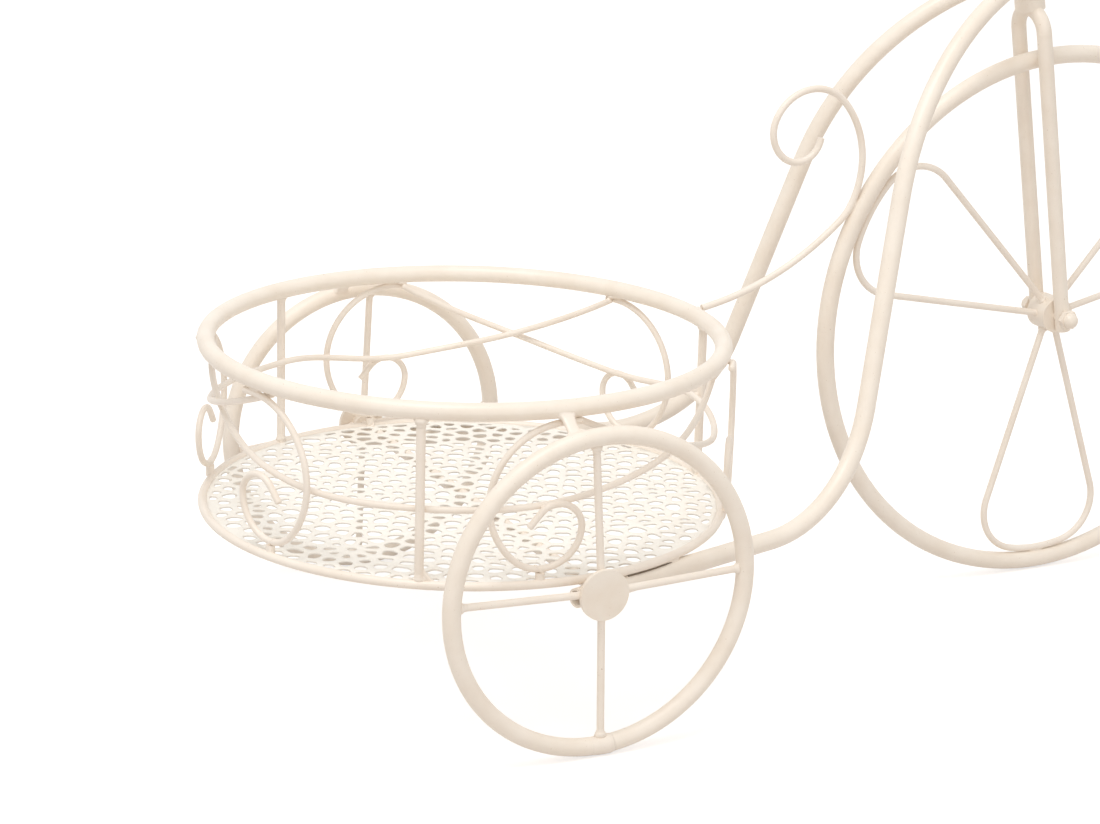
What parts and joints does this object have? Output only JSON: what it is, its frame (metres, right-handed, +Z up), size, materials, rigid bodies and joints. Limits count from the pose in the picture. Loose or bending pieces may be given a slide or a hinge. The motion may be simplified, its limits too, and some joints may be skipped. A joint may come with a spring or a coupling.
{
  "type": "plant stand",
  "caption": "Bicycle plant stand in painted wire and tube: round basket with a pierced floor on fixed spoked rear wheels, bent frame tubes, scrolled front wheel, fork and handlebar.",
  "frame": {"origin": "on the ground, under the middle of the whole stand", "axes": "+X forward to the front wheel, +Y to the stand's left, +Z up"},
  "size_m": [0.8634, 0.4032, 0.5261],
  "materials": {
    "painted_tube": "satin ivory paint over bent steel tube, slightly uneven, pooled smooth at the welds",
    "painted_wire": "satin ivory paint over steel wire",
    "painted_sheet": "satin ivory paint over thin pierced steel sheet",
    "painted_hub": "satin ivory paint over steel plate, rod and nuts",
    "plug_plastic": "ivory moulded plastic tube plug"
  },
  "bodies": {
    "root": {"basket_rim": "painted_tube", "floor_ring": "painted_wire", "basket_floor": "painted_sheet", "post_front": "painted_wire", "post_left": "painted_wire", "post_right": "painted_wire", "swag_front": "painted_wire", "swag_left": "painted_wire", "swag_right": "painted_wire", "scroll_front_left": "painted_wire", "scroll_front_right": "painted_wire", "scroll_left_front": "painted_wire", "scroll_left_rear": "painted_wire", "scroll_right_front": "painted_wire", "scroll_right_rear": "painted_wire", "scroll_stubs": "painted_wire", "rear_axle": "painted_wire", "wheel_hoop_left": "painted_tube", "wheel_hoop_right": "painted_tube", "wheel_spokes_left": "painted_wire", "wheel_spokes_right": "painted_wire", "hub_boss_left": "painted_hub", "hub_boss_right": "painted_hub", "hub_disc_left": "painted_hub", "hub_disc_right": "painted_hub", "wheel_strap_left": "painted_hub", "wheel_strap_right": "painted_hub", "frame_tube_left": "painted_tube", "frame_tube_right": "painted_tube", "stay_scroll": "painted_wire", "front_hoop": "painted_tube", "petal_rear": "painted_wire", "petal_front": "painted_wire", "petal_lower": "painted_wire", "front_hub": "painted_hub", "front_axle": "painted_hub", "axle_nuts": "painted_hub", "fork": "painted_tube", "head_post": "painted_tube", "handlebar": "painted_tube", "bar_plug_left": "plug_plastic", "bar_plug_right": "plug_plastic"}
  },
  "joints": []
}
